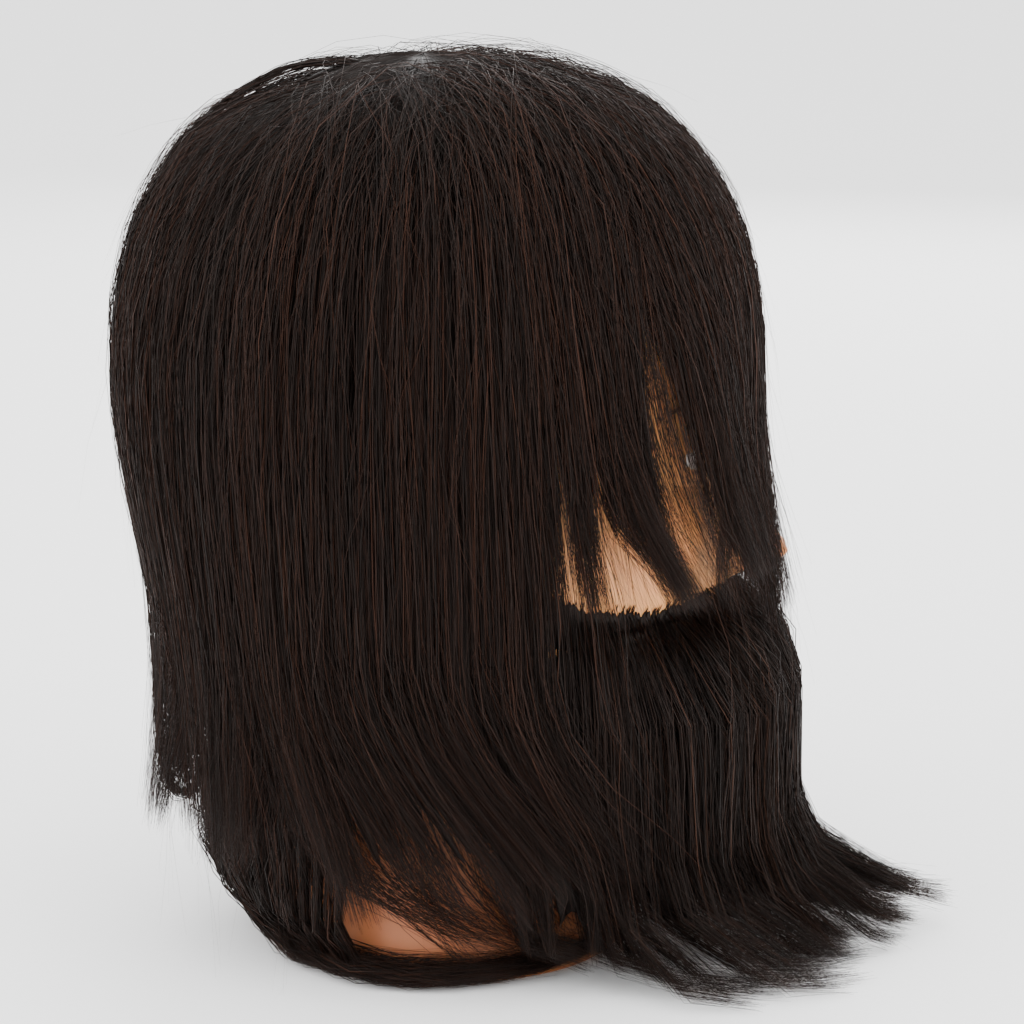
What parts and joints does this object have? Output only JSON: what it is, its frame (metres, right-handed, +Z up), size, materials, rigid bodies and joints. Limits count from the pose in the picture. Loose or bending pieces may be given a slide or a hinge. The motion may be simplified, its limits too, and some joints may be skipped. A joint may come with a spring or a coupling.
{
  "type": "mannequin training head",
  "caption": "Hairdressing training head: soft male head and neck with long straight dark implanted hair and a long beard, on a flat neck base with a clamp socket.",
  "frame": {"origin": "centre of the clamp socket's mouth in the underside of the neck base, level with the table", "axes": "+Z up through the crown, -Y the way the face looks, +X towards the head's own left ear"},
  "size_m": [0.1844, 0.2605, 0.289],
  "materials": {
    "vinyl_skin": "satin",
    "foam": "open-cell, matte",
    "socket_plastic": "moulded",
    "base_plastic": "moulded",
    "screw_steel": "zinc plated",
    "hair": "silky fibre",
    "beard": "silky fibre",
    "brow_hair": "fine fibre",
    "eye_white": "polished",
    "iris_brown": "printed",
    "clear_cornea": "polished"
  },
  "bodies": {
    "root": {"head_skin": "vinyl_skin", "foam_core": "foam", "clamp_socket": "socket_plastic", "base_plate": "base_plastic", "base_screws": "screw_steel", "hair_fringe": "hair", "hair_temple_right": "hair", "hair_temple_left": "hair", "hair_side_right": "hair", "hair_side_left": "hair", "hair_back": "hair", "hair_nape": "hair", "beard_right": "beard", "beard_left": "beard", "beard_chin": "beard", "moustache_left": "beard", "moustache_right": "beard", "eyebrow_left": "brow_hair", "eyebrow_right": "brow_hair", "eyelashes_left": "brow_hair", "eyelashes_right": "brow_hair", "eye_white_left": "eye_white", "eye_white_right": "eye_white", "iris_left": "iris_brown", "iris_right": "iris_brown", "cornea_left": "clear_cornea", "cornea_right": "clear_cornea"}
  },
  "joints": []
}
